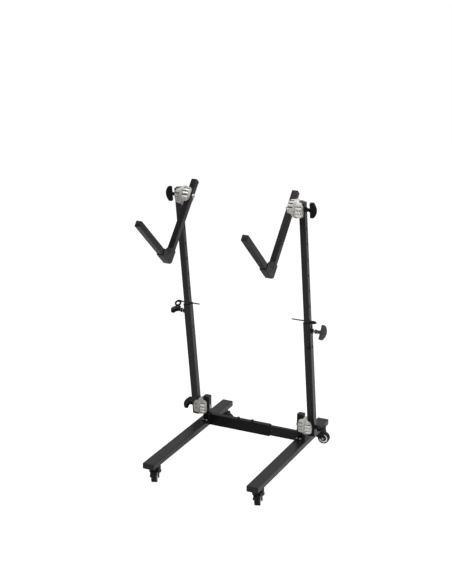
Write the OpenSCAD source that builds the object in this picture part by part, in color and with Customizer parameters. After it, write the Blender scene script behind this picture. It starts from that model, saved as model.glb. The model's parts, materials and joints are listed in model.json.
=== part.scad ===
// Folding, wheeled floor stand. Two floor legs on swivel casters are joined by a telescoping
// crossbar. A two-part upright hinges on each leg's post through a pair of round hinge
// castings, and carries an L-shaped arm on a second pair of castings at its top.
// Right-hand pieces are drawn as they stand; left-hand pieces are their mirror images.
// Origin: on the floor, at the middle of the stand. +X to the right, +Y to the back, +Z up.

/* [Legs] */
// Length of a floor leg
leg_len = 726; // [600:1:800]
// Width of the leg tube
leg_w = 50; // [44:1:60]
// Height of the leg tube
leg_h = 25; // [20:1:30]
// Wall of the leg tube
leg_wall = 2; // [1.5:0.1:3]
// Distance between the two legs' centre lines
leg_pitch = 462; // [420:1:520]
// Corner radius of the base's steel tubes
tube_r = 2.5; // [1:0.1:4]

/* [Posts] */
// Distance from a leg's front end to the fold hinge
hinge_back = 504; // [400:1:560]
// Height of the fold hinge above the top of the leg
hinge_rise = 60; // [56:1:80]
// Side of the square post
post_w = 28; // [24:1:32]
// Height of the post above the leg
post_h = 106; // [102:1:120]
// Wall of the post
post_wall = 2; // [1.5:0.1:3]
// How far the foot plate reaches past the post, front and back
plate_reach = 15; // [13:1:30]
// Thickness of the foot plate
plate_t = 3; // [2:0.1:5]

/* [Crossbar] */
// Height of the outer crossbar tube
bar_h = 50; // [44:1:60]
// Depth of the outer crossbar tube, front to back
bar_d = 25; // [22:1:30]
// Wall of both crossbar tubes
bar_wall = 2; // [1.5:0.1:3]
// How far the crossbar reaches below the top of the leg
bar_drop = 20; // [5:1:24]
// Where the outer crossbar tube ends, right of the middle
bar_end = 78; // [60:1:100]
// Length of the inner crossbar tube that the outer one holds
bar_hold = 190; // [170:1:195]
// Wall of the plastic liner between the two tubes
liner_t = 1.2; // [1:0.1:2]
// Length of the liner inside the tube
liner_len = 50; // [30:1:60]
// Spacing of the two crossbar clamp bolts
clamp_pitch = 66; // [50:1:80]
// Distance from the outer tube's end to the nearer clamp bolt
clamp_inset = 82; // [60:1:100]

/* [Uprights] */
// Forward lean of the uprights, in degrees
lean = 8.5; // [0:0.5:15]
// Side of the square lower tube
lower_w = 30; // [28:1:34]
// Side of the square upper tube
upper_w = 25; // [24:1:26]
// Wall of the upright tubes
upright_wall = 1.5; // [1.2:0.1:2]
// Corner radius of the upright and arm tubes
upright_r = 2; // [1:0.1:3]
// Gap between the post and the lower tube, filled by the castings
hinge_gap = 22; // [18:1:26]
// Lower tube below the fold hinge
lower_tail = 40; // [36:1:50]
// Lower tube above the fold hinge
lower_top = 488; // [440:1:520]
// Distance from the fold hinge to the tilt hinge along the upright
hinge_span = 980; // [900:1:990]
// Length of upper tube held inside the lower tube
upper_hold = 200; // [190:1:240]
// Upper tube above the tilt hinge
upper_tail = 26; // [20:1:40]
// Spacing of the height holes
hole_pitch = 68; // [50:1:80]
// Number of height holes above the one in use
hole_count = 6; // [3:1:6]
// Number of height holes below the one in use
holes_below = 2; // [1:1:2]
// Height of the guide collar's flange
collar_t = 3; // [2:0.5:5]
// Length of the guide collar's sleeve
collar_len = 40; // [25:1:60]
// Distance from the lower tube's top to the spare pin hole
spare_drop = 108; // [90:1:160]

/* [Hinge castings] */
// Radius of the disc where the two halves meet
disc_r = 38.5; // [34:0.5:42]
// Radius of the lugs that hug the tube
lug_r = 35; // [32:0.5:38]
// How far the lugs reach across the tube
lug_cover = 20; // [14:1:24]
// Thickness of the rim of each half, where the two halves meet
rim_t = 4; // [2:0.5:6]
// Rounding of the lugs' outer corner
lug_round = 15; // [10:0.5:16]
// Number of cored pockets in a lug
pocket_count = 3; // [2:1:4]
// Height of one pocket
pocket_h = 10.5; // [8:0.5:12]
// Rib between two pockets
pocket_rib = 4.5; // [3:0.5:6]
// Depth of a pocket
pocket_d = 9; // [4:0.5:12]
// Metal between a pocket and the side of its lug
pocket_side = 5; // [4:0.5:8]

/* [Bolts and pins] */
// Radius of the hinge bolts
bolt_r = 5; // [4:0.5:6]
// Radius of the height clamp screws
screw_r = 4; // [3:0.5:5]
// Radius of the small fastening bolts
small_r = 3; // [2.5:0.5:4]
// Radius of the height pin
pin_r = 3; // [2.5:0.5:4]
// Length of the height pin, from its tip to the middle of its pull loop
pin_len = 98; // [80:1:120]
// How far the left pin is drawn out, 0 where its loop meets the tube
left_pin_out = 15; // [0:1:40]
// Outer radius of the pin's pull loop
loop_r = 15; // [14:0.5:16]
// Thickness of the pull loop, as a radius
loop_bar = 4; // [3:0.5:4.5]
// Thickness of the strap that hangs from the loop, as a radius
strap_r = 2; // [1.5:0.5:2.5]
// Forward swing of the left pull loop, 0 where it hangs straight down
left_loop_swing = 61; // [60:1:110]
// Forward swing of the right pull loop
right_loop_swing = 108; // [60:1:110]

/* [Clamp knobs] */
// Length of a knob's wing
wing_len = 62; // [50:1:62]
// Thickness of the wing at its middle
wing_t = 27; // [20:1:30]
// Thickness of the wing at its ends
wing_end_t = 15; // [10:1:18]
// Width of the wing
wing_w = 17; // [12:1:18]
// Radius of the knob's neck
neck_r = 7.5; // [7:0.5:10]
// Neck of the fold and tilt knobs
short_neck = 17; // [14:1:24]
// Neck of the height knob, with the boss it screws into
long_neck = 38; // [24:1:40]
// How deep a knob's threaded bore is
knob_bore = 13; // [8:1:14]
// Radius of the threaded boss welded on the lower tube
boss_r = 10; // [8:0.5:13]
// Height of the threaded boss
boss_h = 8; // [5:0.5:12]
// Distance from the lower tube's top to the height clamp screw
clamp_drop = 35; // [34:1:50]

/* [Arms] */
// Backward tilt of the arms, in degrees
arm_tilt = 42; // [0:1:45]
// Side of the square arm tubes
arm_w = 25; // [22:1:28]
// Tilt hinge to the bottom arm's centre line, along the back arm
arm_drop = 290; // [260:1:340]
// Back arm's centre line to the bottom arm's front end
arm_reach = 300; // [250:1:340]
// Back arm above the tilt hinge
arm_above = 70; // [50:1:110]
// Wall of the corner socket
elbow_wall = 2.5; // [2:0.1:4]
// Length of the corner socket along the bottom arm
elbow_run = 72; // [50:1:90]
// Length of the corner socket up the back arm
elbow_rise = 46; // [40:1:80]
// Cut across the corner socket's outer corner
elbow_cut = 11; // [6:1:12]

/* [Casters] */
// Height from the floor to the underside of the leg
caster_h = 67; // [64:1:80]
// Radius of the wheel
wheel_r = 25; // [22:0.5:27]
// Width of the tyre
tyre_w = 24; // [20:1:26]
// Thickness of the tyre
tyre_t = 6; // [3:0.5:6]
// Distance from the swivel axis to the wheel's axle
trail = 24; // [16:1:26]
// Distance from a leg's front end to the caster's stem
front_inset = 55; // [30:1:60]
// Distance from a leg's back end to the caster's stem
rear_inset = 46; // [30:1:60]
// Radius of the caster's housing
head_r = 23; // [20:0.5:24]
// Height of the caster's housing, which covers the top of the wheel
head_h = 27; // [20:1:30]
// Radius of the band round the housing's foot
band_r = 25; // [24:0.5:27]
// Radius of the caster's threaded stem
stem_r = 5; // [4:0.5:6]
// Radius of the wheel's axle
axle_r = 3; // [2.5:0.5:4]

/* [Hidden] */
$fn = 48;

black = [0.09, 0.09, 0.10];
plastic = [0.14, 0.14, 0.15];
casting = [0.62, 0.61, 0.58];
steel = [0.72, 0.72, 0.70];

// Clearances and small gaps
fit = 0.05;      // bolt or pin in its running bore, on the radius
slip = 0.3;      // a tube sliding in a plastic liner
free = 0.3;      // any other pair of surfaces that move past each other
tip_gap = 0.1;   // a clamp screw's tip from the tube it presses on
eps = 1;         // overshoot of a cutting shape
bolt_end = 1;    // how far a hinge bolt stops short of its knob's bore

// Levels and places that follow from the sizes above
leg_top = caster_h + leg_h;
leg_in = leg_pitch / 2 - leg_w / 2;
post_x = leg_in + post_w / 2;
post_out = leg_in + post_w;
lower_in = post_out + hinge_gap;
upright_x = lower_in + lower_w / 2;
upright_out = upright_x + lower_w / 2;
upper_in = upright_x - upper_w / 2;
upper_out = upright_x + upper_w / 2;
fold_z = leg_top + hinge_rise;

// Moulded plugs, and the heads of the bolts
cap_t = 3;
plug_depth = 18;
post_plug_depth = 5;
arm_plug_depth = 14;
upper_plug_depth = 12;
facet_rise = 3;
washer_t = 1.5;
small_len = 11;
small_head_r = small_r * 1.6;
small_head_h = small_r * 1.2;
clamp_washer_r = small_r * 2.3;
clamp_head_r = small_r * 2;
clamp_head_h = small_r * 1.8;
big_head_r = bolt_r * 1.7;
big_head_h = bolt_r * 1.2;

// The stand's front and back ends, from the front of the legs
tilt_back = hinge_back - hinge_span * sin(lean);
tilt_z = fold_z + hinge_span * cos(lean);
front_end = tilt_back - arm_drop * sin(arm_tilt) - arm_reach * cos(arm_tilt)
    - cap_t / 2 * cos(arm_tilt) - arm_w / 2 * sin(arm_tilt);
mid_back = (min(front_end, -cap_t) + leg_len + cap_t) / 2;
fold_y = hinge_back - mid_back;
tilt_y = tilt_back - mid_back;
leg_front_y = -mid_back;

// Crossbar
bar_z = leg_top - bar_drop + bar_h / 2;
cavity_h = bar_h - 2 * bar_wall;
cavity_d = bar_d - 2 * bar_wall;
inner_h = cavity_h - 2 * liner_t - 2 * slip;
inner_d = cavity_d - 2 * liner_t - 2 * slip;
inner_end = bar_end - bar_hold;
liner_lip = 2;

// Height pin: it rests on the guide collar's flange, which stands proud of the lower tube
collar_over = 0.75;
pin_t = lower_top + collar_t + pin_r + free;
pin_hole_r = pin_r + fit;
upper_bottom = lower_top - upper_hold;
loop_x = upper_out + free + loop_r;
loop_off = loop_r - loop_bar;
socket_r = loop_bar + 1.5;
knob_t = lower_top - clamp_drop;
// the strap: its way round the height knob's wing, and its tab beside the lower tube
strap_root = 4;
strap_bow = wing_len / 2 + 8;
strap_over = 18;
strap_out = 11;
tab_r = 6;
tab_t = 3;
tab_in = 8;
tab_y = lower_w / 2 + collar_over + 1.5 * free;

// Knobs
wing_round = 2.5;
knob_stand = 2;
knob_seat = upright_out + free;
tilt_seat = upper_out + free;

// Arms: the arm's centre plane lines up with the post
arm_out = post_x + arm_w / 2;
arm_in = post_x - arm_w / 2;
tilt_gap = upper_in - arm_out;

// Casters
fork_gap = 2.5;
cheek_t = 3.5;
fork_in = tyre_w / 2 + fork_gap;
fork_out = fork_in + cheek_t;
rim_r = wheel_r - tyre_t;
hub_r = 7;
band_h = 5;
axle_head_r = axle_r + 2;
axle_head_t = 2;
hood_low = caster_h - head_h - eps;
hood_rise = 6;
hood_past = 5;
rim_recess = 4;
rim_lip = 3;

// Knob and caster angles as the stand was set when it was pictured
left_fold_turn = 111;
right_fold_turn = 80;
left_height_turn = 81;
right_height_turn = -42;
tilt_turn = 8;
left_front_swivel = -68;
right_front_swivel = -71;
rear_swivel = 5;

// ---------------------------------------------------------------- helpers
// Draws right-hand pieces on the side asked for: 1 is right, -1 is left
module sided(side) mirror([side < 0 ? 1 : 0, 0, 0]) children();

// 2D rounded rectangle
module plate(w, h, r) {
    r2 = min(r, w / 2 - 0.01, h / 2 - 0.01);
    square([w - 2 * r2, h], center = true);
    square([w, h - 2 * r2], center = true);
    for (i = [-1, 1], j = [-1, 1])
        translate([i * (w / 2 - r2), j * (h / 2 - r2)]) circle(r2, $fn = 24);
}

// 2D outline of a box tube
module box_ring(w, h, wall, r) difference() {
    plate(w, h, r);
    plate(w - 2 * wall, h - 2 * wall, max(r - wall, 0.5));
}

// Box tube along +Z from z0 to z1
module tube(w, h, wall, r, z0, z1)
    translate([0, 0, z0]) linear_extrude(z1 - z0) box_ring(w, h, wall, r);

// Cylinder along X from x0 to x1
module xcyl(r, x0, x1) translate([x0, 0, 0]) rotate([0, 90, 0]) cylinder(r = r, h = x1 - x0);

// Cylinder along Z from z0 to z1
module zcyl(r, z0, z1) translate([0, 0, z0]) cylinder(r = r, h = z1 - z0);

// Frame of an upright: origin at the fold hinge, +Z up along the leaning tube
module upright_frame() translate([0, fold_y, fold_z]) rotate([lean, 0, 0]) children();

// Frame of an arm: origin at the tilt hinge, +Z up along the back arm
module arm_frame() translate([0, tilt_y, tilt_z]) rotate([-arm_tilt, 0, 0]) children();

// ---------------------------------------------------------------- base
module leg(side) color(black) sided(side) difference() {
    translate([leg_pitch / 2, leg_front_y, caster_h + leg_h / 2]) rotate([-90, 0, 0])
        tube(leg_w, leg_h, leg_wall, tube_r, 0, leg_len);
    for (y = [front_inset, leg_len - rear_inset])
        translate([leg_pitch / 2, leg_front_y + y, 0])
            zcyl(stem_r + fit, caster_h - eps, caster_h + leg_wall + eps);
    foot_bolt_places() zcyl(small_r + fit, leg_top - leg_wall - eps, leg_top + eps);
}

// The foot plate's four bolts stand in front of and behind the post
module foot_bolt_places()
    for (y = [-1, 1], x = [-1, 1])
        translate([post_x + x * post_w / 4, fold_y + y * (post_w + plate_reach) / 2, 0]) children();

// Square post welded on its foot plate
module post(side) color(black) sided(side) {
    difference() {
        translate([post_x, fold_y, 0])
            tube(post_w, post_w, post_wall, tube_r, leg_top + plate_t, leg_top + post_h);
        translate([0, fold_y, fold_z]) xcyl(bolt_r + fit, leg_in - eps, post_out + eps);
    }
    difference() {
        translate([post_x, fold_y, leg_top]) linear_extrude(plate_t)
            plate(post_w, post_w + 2 * plate_reach, tube_r);
        foot_bolt_places() zcyl(small_r + fit, leg_top - eps, leg_top + plate_t + eps);
    }
}

// A plug: a rim as wide as the tube and a body that fits inside it, along +Z from the tube's end
module plug(w, h, wall, r, rim, depth) {
    linear_extrude(rim) plate(w, h, r);
    translate([0, 0, -depth]) linear_extrude(depth)
        plate(w - 2 * wall - 2 * fit, h - 2 * wall - 2 * fit, max(r - wall, 0.5));
}

// A plug with a shallow pyramid face
module facet_plug(w, wall, r, rim, depth, peak) {
    plug(w, w, wall, r, rim, depth);
    translate([0, 0, rim]) rotate([0, 0, 45])
        cylinder(r1 = (w / 2 - 1) * sqrt(2), r2 = 1, h = peak, $fn = 4);
}

module base_plugs(side) color(plastic) sided(side) {
    translate([leg_pitch / 2, leg_front_y, caster_h + leg_h / 2]) rotate([90, 0, 0])
        plug(leg_w, leg_h, leg_wall, tube_r, cap_t, plug_depth);
    translate([leg_pitch / 2, leg_front_y + leg_len, caster_h + leg_h / 2]) rotate([-90, 0, 0])
        plug(leg_w, leg_h, leg_wall, tube_r, cap_t, plug_depth);
    translate([post_x, fold_y, leg_top + post_h])
        plug(post_w, post_w, post_wall, tube_r, cap_t, post_plug_depth);
}

// Hexagon head along +Z
module hex(r, h) cylinder(r = r, h = h, $fn = 6);

module base_bolts(side) color(steel) sided(side) {
    foot_bolt_places() {
        zcyl(small_r, leg_top + plate_t - small_len, leg_top + plate_t);
        translate([0, 0, leg_top + plate_t]) hex(small_head_r, small_head_h);
    }
    translate([0, fold_y, fold_z]) {
        xcyl(bolt_r, leg_in - eps, knob_seat + knob_bore - bolt_end);
        translate([leg_in - big_head_h, 0, 0]) rotate([0, 90, 0]) hex(big_head_r, big_head_h);
    }
}

module outer_crossbar() color(black) difference() {
    translate([0, fold_y, bar_z]) rotate([0, 90, 0])
        tube(bar_h, bar_d, bar_wall, tube_r, -leg_in, bar_end);
    for (i = [0, 1]) translate([bar_end - clamp_inset - i * clamp_pitch, fold_y, 0])
        zcyl(small_r + fit, bar_z + bar_h / 2 - bar_wall - eps, bar_z + bar_h / 2 + eps);
}

module inner_crossbar() color(black) translate([0, fold_y, bar_z]) rotate([0, 90, 0])
    tube(inner_h, inner_d, bar_wall, tube_r, inner_end, leg_in);

// Plastic liner in the outer tube's mouth, with a lip over its end
module crossbar_liner() color(plastic) translate([0, fold_y, bar_z]) rotate([0, 90, 0]) {
    tube(cavity_h - 2 * fit, cavity_d - 2 * fit, liner_t - fit, tube_r, bar_end - liner_len, bar_end);
    translate([0, 0, bar_end]) linear_extrude(liner_lip) difference() {
        plate(bar_h - 1, bar_d - 1, tube_r);
        plate(inner_h + 2 * slip, inner_d + 2 * slip, 0.5);
    }
}

// The two bolts press on the inner tube from above
module crossbar_clamp_bolts() color(black)
    for (i = [0, 1]) translate([bar_end - clamp_inset - i * clamp_pitch, fold_y, 0]) {
        zcyl(small_r, bar_z + inner_h / 2 + tip_gap, bar_z + bar_h / 2);
        translate([0, 0, bar_z + bar_h / 2]) zcyl(clamp_washer_r, 0, washer_t);
        translate([0, 0, bar_z + bar_h / 2 + washer_t]) hex(clamp_head_r, clamp_head_h);
    }

// ---------------------------------------------------------------- hinge castings
// One half of a hinge, drawn with its meeting face at x = 0 and its lugs towards +X.
// The disc is disc_t thick; the lugs then hug a square tube of side w that runs along Z.
module casting_half(disc_t, w) color(casting) difference() {
    reach = disc_t + lug_cover;
    far = 2 * disc_r;
    union() {
        rotate([90, 0, 90]) rotate_extrude() intersection() {
            square([lug_r, reach]);
            union() {
                square([lug_r - lug_round, reach]);
                square([lug_r, reach - lug_round]);
                translate([lug_r - lug_round, reach - lug_round]) circle(lug_round);
            }
        }
        xcyl(disc_r, 0, rim_t);
    }
    // the running gap between the two halves
    translate([-eps, -far, -far]) cube([eps + free / 2, 2 * far, 2 * far]);
    // the tube
    translate([disc_t, -w / 2 - fit, -far]) cube([lug_cover + eps, w + 2 * fit, 2 * far]);
    // the bolt
    xcyl(bolt_r + fit, -eps, disc_t + eps);
    // the cored pockets, on the front and the back
    for (side = [-1, 1], i = [0 : pocket_count - 1])
        translate([pocket_from, side > 0 ? pocket_floor(w, i) : -disc_r - eps, pocket_z(i)])
            cube([reach - pocket_side - pocket_from, disc_r + eps - pocket_floor(w, i), pocket_h]);
}
pocket_from = rim_t + 1;
lug_wall = 3;
function pocket_z(i) = (i - pocket_count / 2) * (pocket_h + pocket_rib) + pocket_rib / 2;
function pocket_mid(i) = pocket_z(i) + pocket_h / 2;
// the floor of a pocket follows the lug's curve, but stays off the tube
function pocket_floor(w, i) =
    max(w / 2 + lug_wall, sqrt(lug_r * lug_r - pocket_mid(i) * pocket_mid(i)) - pocket_d);

fold_mid = (post_out + lower_in) / 2;
tilt_mid = (arm_out + upper_in) / 2;

module fold_base_casting(side) sided(side) translate([fold_mid, fold_y, fold_z])
    mirror([1, 0, 0]) casting_half(hinge_gap / 2, post_w);
module fold_swing_casting(side) sided(side) upright_frame() translate([fold_mid, 0, 0])
    casting_half(hinge_gap / 2, lower_w);
module tilt_upright_casting(side) sided(side)
    upright_frame() translate([tilt_mid, 0, hinge_span]) casting_half(tilt_gap / 2, upper_w);
module tilt_arm_casting(side) sided(side) arm_frame() translate([tilt_mid, 0, 0])
    mirror([1, 0, 0]) casting_half(tilt_gap / 2, arm_w);

// ---------------------------------------------------------------- uprights
module lower_tube(side) color(black) sided(side) upright_frame() difference() {
    union() {
        translate([upright_x, 0, 0])
            tube(lower_w, lower_w, upright_wall, upright_r, -lower_tail, lower_top);
        translate([0, 0, knob_t]) xcyl(boss_r, upright_out, upright_out + boss_h);
    }
    xcyl(bolt_r + fit, lower_in - eps, upright_out + eps);
    translate([0, 0, knob_t])
        xcyl(screw_r + fit, upright_out - upright_wall - eps, upright_out + boss_h + eps);
    translate([0, 0, lower_top - spare_drop]) xcyl(pin_hole_r, lower_in - eps, upright_out + eps);
}

module guide_collar(side) color(plastic) sided(side) upright_frame() translate([upright_x, 0, 0]) {
    sleeve = lower_w - 2 * upright_wall - 2 * fit;
    bore = upper_w + 2 * slip;
    difference() {
        union() {
            translate([0, 0, lower_top - collar_len]) linear_extrude(collar_len + collar_t)
                plate(sleeve, sleeve, 1);
            translate([0, 0, lower_top]) linear_extrude(collar_t)
                plate(lower_w + 2 * collar_over, lower_w + 2 * collar_over, upright_r);
        }
        translate([0, 0, lower_top - collar_len - eps]) linear_extrude(collar_len + collar_t + 2 * eps)
            square(bore, center = true);
        translate([0, 0, knob_t]) xcyl(screw_r + slip, 0, lower_w);
    }
}

module upper_tube(side) color(black) sided(side) upright_frame() difference() {
    translate([upright_x, 0, 0])
        tube(upper_w, upper_w, upright_wall, upright_r, upper_bottom, hinge_span + upper_tail);
    for (i = [-holes_below : hole_count]) translate([0, 0, pin_t + i * hole_pitch])
        xcyl(pin_hole_r, upper_in - eps, upper_out + eps);
    translate([0, 0, hinge_span]) xcyl(bolt_r + fit, upper_in - eps, upper_out + eps);
}

module upper_plug(side) color(plastic) sided(side) upright_frame()
    translate([upright_x, 0, hinge_span + upper_tail])
        plug(upper_w, upper_w, upright_wall, upright_r, cap_t, upper_plug_depth);

// Plain steel pin, drawn out of its home place by out
module height_pin(side, out) color(steel) sided(side) upright_frame() translate([out, 0, pin_t])
    xcyl(pin_r, loop_x - pin_len, loop_x);

// Moulded loop on the pin's outer end, with a strap that ends in a round tab. The strap bows
// round the wing of the knob below it: in front of it where way is -1, behind it where way is 1.
module pin_loop(side, swing, out, way) color(plastic) sided(side) upright_frame()
    translate([out, 0, 0]) {
    translate([0, 0, pin_t]) difference() {
        union() {
            rotate([-swing, 0, 0]) translate([loop_x, 0, -loop_off]) rotate([90, 0, 0])
                rotate_extrude() translate([loop_off, 0]) circle(loop_bar);
            xcyl(socket_r, loop_x - loop_off, loop_x + loop_bar);
        }
        xcyl(pin_hole_r, loop_x - 2 * loop_r, loop_x);
    }
    route = [
        [loop_x - loop_off / 2, way * strap_root, pin_t],
        [upright_out + strap_out, way * strap_bow, knob_t + strap_over],
        [upright_out + strap_out / 2, way * strap_bow, knob_t - strap_over],
        [upright_out, way * (strap_bow + tab_y) / 2, knob_t - 2.5 * strap_over],
        [upright_out - tab_in, way * (tab_y + tab_t), lower_top - spare_drop],
    ];
    for (i = [1 : len(route) - 1]) rod(route[i - 1], route[i]);
    translate([upright_out - tab_in, way * (tab_y + tab_t / 2), lower_top - spare_drop])
        rotate([90, 0, 0]) cylinder(r = tab_r, h = tab_t, center = true);
}

// Round strap from one point to the next, with a ball at its far end
module rod(from, to) {
    d = to - from;
    translate(from) rotate([0, acos(d[2] / norm(d)), atan2(d[1], d[0])])
        cylinder(r = strap_r, h = norm(d));
    translate(to) sphere(strap_r * 1.25);
}

// ---------------------------------------------------------------- knobs
// A wing knob drawn along +X from its seat: a neck, then a wing with a flat inner side and a
// bowed outer side
module wing_knob(neck, turn) rotate([turn, 0, 0]) {
    xcyl(neck_r, 0, neck + wing_round);
    bow = wing_t - wing_end_t;
    bow_r = (wing_len * wing_len / 4 + bow * bow) / (2 * bow);
    translate([neck, wing_w / 2, 0]) rotate([90, 0, 0]) linear_extrude(wing_w) intersection() {
        translate([wing_t - bow_r, 0]) circle(bow_r, $fn = 96);
        translate([wing_t / 2, 0]) plate(wing_t, wing_len, wing_round);
    }
}

module clamp_knob(neck, turn, bore) color(plastic) difference() {
    wing_knob(neck, turn);
    if (bore > 0) xcyl(bolt_r + fit, -eps, bore);
}

module fold_knob(side, turn) sided(side) translate([knob_seat, fold_y, fold_z])
    clamp_knob(short_neck, turn, knob_bore);
module tilt_knob(side, turn) sided(side) translate([tilt_seat, tilt_y, tilt_z])
    clamp_knob(short_neck, turn, knob_bore);
module height_knob(side, turn) sided(side) upright_frame()
    translate([0, 0, knob_t]) color(plastic) {
        xcyl(screw_r, upper_out + tip_gap, upright_out + boss_h + 2 * knob_stand);
        translate([upright_out + boss_h + knob_stand, 0, 0])
            wing_knob(long_neck - boss_h - knob_stand, turn);
    }

// ---------------------------------------------------------------- arms
elbow_half = arm_w / 2 + elbow_wall;
// the bottom arm ends short of the socket's cut corner, and the back arm stands on its core
bottom_back = elbow_half - elbow_cut - elbow_wall;
arm_foot = arm_w / 2 + upright_wall;
socket_step = 0.3;

module back_arm(side) color(black) sided(side) arm_frame() difference() {
    translate([post_x, 0, 0])
        tube(arm_w, arm_w, upright_wall, upright_r, arm_foot - arm_drop, arm_above);
    xcyl(bolt_r + fit, arm_in - eps, arm_out + eps);
}

// The end in the socket is drawn in by a small step, so the seat face ends at the socket's mouth
module bottom_arm(side) color(black) sided(side) arm_frame()
    translate([post_x, 0, -arm_drop]) rotate([90, 0, 0]) {
        end_w = arm_w - 2 * socket_step;
        tube(arm_w, arm_w, upright_wall, upright_r, elbow_run + socket_step, arm_reach);
        tube(end_w, end_w, upright_wall, upright_r, -bottom_back, elbow_run + socket_step);
    }

// Corner socket: it holds the bottom arm's end and the back arm's foot
module arm_elbow(side) color(plastic) sided(side) arm_frame() translate([post_x, 0, -arm_drop])
    difference() {
        seat = arm_w - 2 * socket_step + 2 * fit;
        translate([-elbow_half, 0, 0]) rotate([90, 0, 90]) linear_extrude(2 * elbow_half)
            polygon([
                [-elbow_run, -elbow_half],
                [elbow_half - elbow_cut, -elbow_half],
                [elbow_half, elbow_cut - elbow_half],
                [elbow_half, elbow_rise],
                [-elbow_half, elbow_rise],
                [-elbow_half, elbow_half],
                [-elbow_run, elbow_half],
            ]);
        // the bottom arm's seat
        translate([-seat / 2, -elbow_run - eps, -seat / 2])
            cube([seat, elbow_run + eps + bottom_back, seat]);
        // the back arm's seat
        translate([-arm_w / 2 - fit, -arm_w / 2 - fit, arm_foot])
            cube([arm_w + 2 * fit, arm_w + 2 * fit, elbow_rise]);
    }

module arm_plugs(side) color(plastic) sided(side) arm_frame() {
    translate([post_x, -arm_reach, -arm_drop]) rotate([90, 0, 0])
        facet_plug(arm_w, upright_wall, upright_r, cap_t / 2, arm_plug_depth, facet_rise);
    translate([post_x, 0, arm_above])
        facet_plug(arm_w, upright_wall, upright_r, cap_t / 2, arm_plug_depth, facet_rise);
}

// Bolt through the back arm, both castings and the upper tube
module tilt_bolt(side) color(steel) sided(side) translate([0, tilt_y, tilt_z]) {
    xcyl(bolt_r, arm_in - eps, tilt_seat + knob_bore - bolt_end);
    translate([arm_in - big_head_h, 0, 0]) rotate([0, 90, 0]) hex(big_head_r, big_head_h);
}

// ---------------------------------------------------------------- casters
// Places a caster drawn with its stem on the origin and its trail along +X
module caster_place(side, rear, swivel)
    translate([side * leg_pitch / 2, leg_front_y + (rear ? leg_len - rear_inset : front_inset), 0])
        rotate([0, 0, swivel]) children();

module fork() color(plastic) {
    head_low = caster_h - head_h;
    zcyl(stem_r, caster_h - eps, leg_top - leg_h / 4);
    difference() {
        union() {
            zcyl(head_r, head_low, caster_h - free);
            zcyl(band_r, head_low - band_h, head_low);
            for (s = [-1, 1]) translate([0, s * fork_in + max(s, 0) * cheek_t, 0])
                rotate([90, 0, 0]) linear_extrude(cheek_t) cheek_outline();
            hood();
        }
        translate([trail, fork_in, wheel_r]) rotate([90, 0, 0])
            cylinder(r = wheel_r + fork_gap, h = 2 * fork_in);
    }
    // axle, with a round head at each end
    translate([trail, fork_out + axle_head_t / 2, wheel_r]) rotate([90, 0, 0])
        cylinder(r = axle_r, h = 2 * fork_out + axle_head_t);
    for (s = [-1, 1]) translate([trail, s * fork_out + (s + 1) / 2 * axle_head_t, wheel_r])
        rotate([90, 0, 0]) cylinder(r = axle_head_r, h = axle_head_t);
}
// Guard over the wheel's top, from the housing to above the axle
module hood() translate([0, fork_out, 0]) rotate([90, 0, 0])
    linear_extrude(2 * fork_out) intersection() {
        translate([trail, wheel_r]) circle(wheel_r + fork_gap + cheek_t);
        translate([0, hood_low]) square([trail + hood_past, wheel_r + hood_rise]);
    }
// Side plate of the fork: from the band down to the axle
module cheek_outline() {
    top = caster_h - head_h;
    polygon([
        [-band_r * 0.6, top],
        [trail + hood_past, top],
        [trail + hub_r, wheel_r],
        [trail - hub_r * 0.7, wheel_r - hub_r * 0.7],
        [-band_r * 0.35, wheel_r + hub_r],
    ]);
    translate([trail, wheel_r]) circle(hub_r);
}

// Wheel centre: a hub between the cheeks, a web and a rim
module rim() color([0.85, 0.85, 0.83]) translate([trail, 0, wheel_r]) rotate([90, 0, 0])
    difference() {
        hub = fork_in - free;
        union() {
            translate([0, 0, -tyre_w / 2]) cylinder(r = rim_r, h = tyre_w);
            translate([0, 0, -hub]) cylinder(r = hub_r, h = 2 * hub);
        }
        translate([0, 0, -hub - eps]) cylinder(r = axle_r + fit, h = 2 * (hub + eps));
        for (s = [-1, 1]) translate([0, 0, s * tyre_w / 2]) rotate_extrude()
            translate([hub_r, -rim_recess]) square([rim_r - rim_lip - hub_r, 2 * rim_recess]);
    }

module tyre() color(black) translate([trail, 0, wheel_r]) rotate([90, 0, 0])
    rotate_extrude($fn = 72) translate([rim_r + tyre_t / 2, 0]) plate(tyre_t, tyre_w, 1.5);

// ---------------------------------------------------------------- the stand
leg(-1);  // left_leg
leg(1);  // right_leg
post(-1);  // left_post
post(1);  // right_post
base_plugs(-1);  // left_base_plugs
base_plugs(1);  // right_base_plugs
base_bolts(-1);  // left_base_bolts
base_bolts(1);  // right_base_bolts
outer_crossbar();
inner_crossbar();
crossbar_liner();
crossbar_clamp_bolts();
fold_base_casting(-1);  // left_fold_base_casting
fold_base_casting(1);  // right_fold_base_casting
fold_swing_casting(-1);  // left_fold_swing_casting
fold_swing_casting(1);  // right_fold_swing_casting
lower_tube(-1);  // left_lower_tube
lower_tube(1);  // right_lower_tube
guide_collar(-1);  // left_guide_collar
guide_collar(1);  // right_guide_collar
upper_tube(-1);  // left_upper_tube
upper_tube(1);  // right_upper_tube
upper_plug(-1);  // left_upper_plug
upper_plug(1);  // right_upper_plug
tilt_upright_casting(-1);  // left_tilt_upright_casting
tilt_upright_casting(1);  // right_tilt_upright_casting
tilt_arm_casting(-1);  // left_tilt_arm_casting
tilt_arm_casting(1);  // right_tilt_arm_casting
tilt_bolt(-1);  // left_tilt_bolt
tilt_bolt(1);  // right_tilt_bolt
fold_knob(-1, left_fold_turn);  // left_fold_knob
fold_knob(1, right_fold_turn);  // right_fold_knob
height_knob(-1, left_height_turn);  // left_height_knob
height_knob(1, right_height_turn);  // right_height_knob
tilt_knob(-1, tilt_turn);  // left_tilt_knob
tilt_knob(1, tilt_turn);  // right_tilt_knob
height_pin(-1, left_pin_out);  // left_height_pin
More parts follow.
